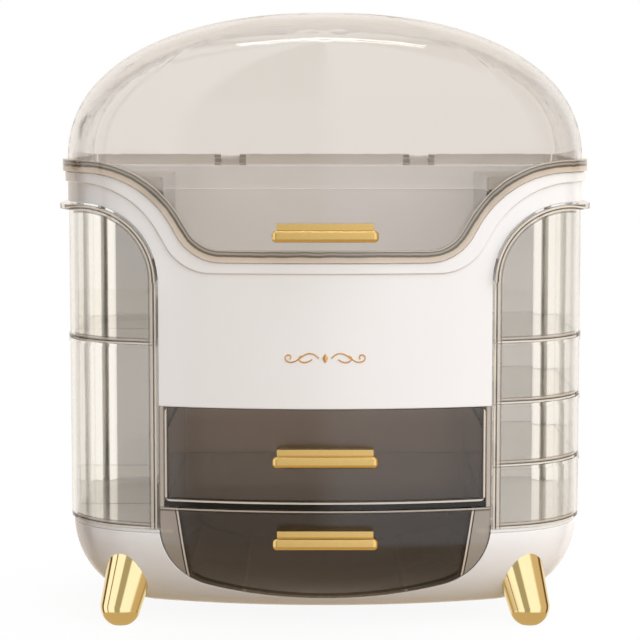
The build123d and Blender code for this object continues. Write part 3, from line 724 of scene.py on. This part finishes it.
print("sweep from", sweep_start, "to", round(sweep_end, 1), "mm")

# %% [markdown]
# The lip stands outside the organizer's D-shaped outline, and the dome's own wall inside it. The
# outline is a wide bow in front, a round at each corner and a straight back, and the distance
# outside it tells the two apart.

# %% Distance from the outline
plan_bow, plan_corner, plan_half, plan_back = 350.0, 60.0, 155.5, 101.05
plan_centre_y, corner_x, corner_y = 254.55, 95.5, -19.26


def outside_plan(point):
    """Millimetres outside the organizer's D-shaped outline, for a point in metres."""
    x, y = abs(point.x) / mm, point.y / mm
    if y > corner_y:
        return max(x - plan_half, y - plan_back)
    if math.atan2(x, plan_centre_y - y) < math.atan2(corner_x, plan_centre_y - corner_y):
        return math.hypot(x, y - plan_centre_y) - plan_bow
    return math.hypot(x - corner_x, y - corner_y) - plan_corner


print("outline", 2 * plan_half, "mm wide")

# %% Dress the lid
lip_height, lip_start = 7.0, 0.3
lip_slack, lip_stands_out = 0.1, 1.0

lid = copy_of("lid_dome", dome_ps, lip_painted_ps)
lip_value = lid.data.attributes.new("lip_height", "FLOAT", "POINT")
for vertex in lid.data.vertices:
    lip_value.data[vertex.index].value = (above_rim(vertex.co) - lip_start) / lip_height
lip_top = lip_height + lip_start + lip_slack
lip_faces = 0
for face in lid.data.polygons:
    corners = [lid.data.vertices[i].co for i in face.vertices]
    if all(above_rim(c) < lip_top for c in corners) and any(
            outside_plan(c) > lip_stands_out for c in corners):
        face.material_index = 1
        lip_faces += 1
print(lid.name, len(lid.data.polygons), "faces,", lip_faces, "on the lip")

# %% [markdown]
# ## Gold and steel
# Legs and bar handles are plastic with a gold electroplate. A metal is all reflection, so its
# colour is the reflection's tint and it needs no other layer. The legs are polished, and their
# wide streaks show it. The bars are satin, so they glow evenly. A yellow gloss paint would be
# simpler, but its highlights would come out white.


# %% Gold plate
def metal(name, code, roughness, size_mm, height_mm):
    """A bare metal face, with a low bump for its unevenness."""
    made, tree, out = new_material(name)
    bump = fine_bump(tree, size_mm, height_mm)
    face = add_node(tree, "ShaderNodeBsdfPrincipled", {
        "Base Color": linear(code), "Metallic": 1.0, "Roughness": roughness,
        "Normal": bump.outputs["Normal"]})
    tree.links.new(face.outputs[0], out.inputs["Surface"])
    return made


plate_wave_mm, plate_wave_height_mm = 6.0, 0.02
gold = metal("gold_electroplate", "EBD9A8", 0.07, plate_wave_mm, plate_wave_height_mm)
satin_gold = metal("satin_gold_electroplate", "DEBE7C", 0.24, plate_wave_mm,
                   plate_wave_height_mm)
for name in nodes:
    if name.startswith("leg_") and not name.endswith("screws"):
        finish_node(name, gold)
    if name.endswith("handle"):
        finish_node(name, satin_gold)
print("gold", gold.name, satin_gold.name)

# %% [markdown]
# Screws and hinge pins are turned steel with a zinc coat, grey and slightly rough. They are
# hidden in the closed organizer, and show when the lid or a bin is open. Turning leaves rings on
# real ones, too fine to show at this size, so a fine grain stands for them.

# %% Steel
grain_mm, grain_height_mm = 0.6, 0.01
steel = metal("zinc_plated_steel", "B9B8B6", 0.32, grain_mm, grain_height_mm)
for name in nodes:
    if name.endswith(("screws", "pin", "pins")):
        finish_node(name, steel)
print("steel", steel.name)

# %% [markdown]
# ## Gold ornament
# The front panel carries a small hot-stamped gold mark. Here it is a plain scroll: a diamond with
# a curl at each side. Hot stamping leaves a film of foil on the plastic, which could be painted
# on as a pattern, but a modelled line stays crisp in the export. So each curl is a curve with a
# small round section, pressed half into the panel's bowed surface.

# %% Scroll
foil = metal("hot_stamped_gold_foil", "D9A96A", 0.28, plate_wave_mm, plate_wave_height_mm)
ornament_z, panel_y, line_radius_mm = 0.164, -0.0955, 0.42
# Millimetres to the side and up, from the ornament's middle.
scroll = [(3.6, 0), (6, 2.6), (10, 3.4), (14, 0.6), (18, -2.6), (22.5, -2.2), (23.6, 1.0),
          (21.0, 2.6), (19.2, 0.9), (20.4, -0.5)]
leaf = [(7.5, -0.6), (10.5, -2.8), (14.5, -2.6), (16.2, 0.4), (13.6, 1.4)]


def curl(points_mm, side):
    """One gold line through points at one side of the ornament, bowed with the panel."""
    data = bpy.data.curves.new("scroll_line", "CURVE")
    data.dimensions = "3D"
    data.bevel_depth = line_radius_mm * mm
    data.bevel_resolution = 3
    data.use_fill_caps = True
    spline = data.splines.new("NURBS")
    spline.points.add(len(points_mm) - 1)
    for point, (x, z) in zip(spline.points, points_mm):
        bow = (x * mm) ** 2 / (2 * plan_bow * mm)
        point.co = (side * x * mm, panel_y + bow, ornament_z + z * mm, 1)
    spline.order_u = 4
    spline.use_endpoint_u = True
    line = bpy.data.objects.new("scroll_line", data)
    bpy.context.scene.collection.objects.link(line)
    return line


lines = [curl(points, side) for points in (scroll, leaf) for side in (-1, 1)]
deselect()
for line in lines:
    line.select_set(True)
bpy.context.view_layer.objects.active = lines[0]
bpy.ops.object.convert(target="MESH")
bpy.ops.object.join()
ornament = bpy.context.object
ornament.name = "gold_ornament"
print(ornament.name, len(lines), "lines")

# %% [markdown]
# The diamond in the middle is a cylinder with four corners, laid on its face, stretched upright
# and bevelled, so that its edges catch light as the curls do. A flat plate would look dark from
# most sides.

# %% Diamond
diamond_radius_mm, diamond_depth_mm, diamond_round_mm = 2.3, 0.9, 0.35
diamond_stretch = (0.8, 1, 1.25)
ornament_smooth_angle = math.radians(40)

deselect()
bpy.ops.mesh.primitive_cylinder_add(
    vertices=4, radius=diamond_radius_mm * mm, depth=diamond_depth_mm * mm,
    location=(0, panel_y, ornament_z), rotation=(math.radians(90), 0, 0))
bpy.ops.object.mode_set(mode="EDIT")
bpy.ops.mesh.select_all(action="SELECT")
bpy.ops.transform.resize(value=diamond_stretch)
bpy.ops.mesh.bevel(offset=diamond_round_mm * mm, segments=2, affect="EDGES")
bpy.ops.object.mode_set(mode="OBJECT")
ornament.select_set(True)
bpy.context.view_layer.objects.active = ornament
bpy.ops.object.join()
bpy.ops.object.transform_apply(location=True, rotation=True, scale=True)
bpy.ops.object.shade_smooth_by_angle(angle=ornament_smooth_angle)
ornament.data.materials.clear()
ornament.data.materials.append(foil)
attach(ornament, "body")
print(ornament.name, len(ornament.data.polygons), "faces")
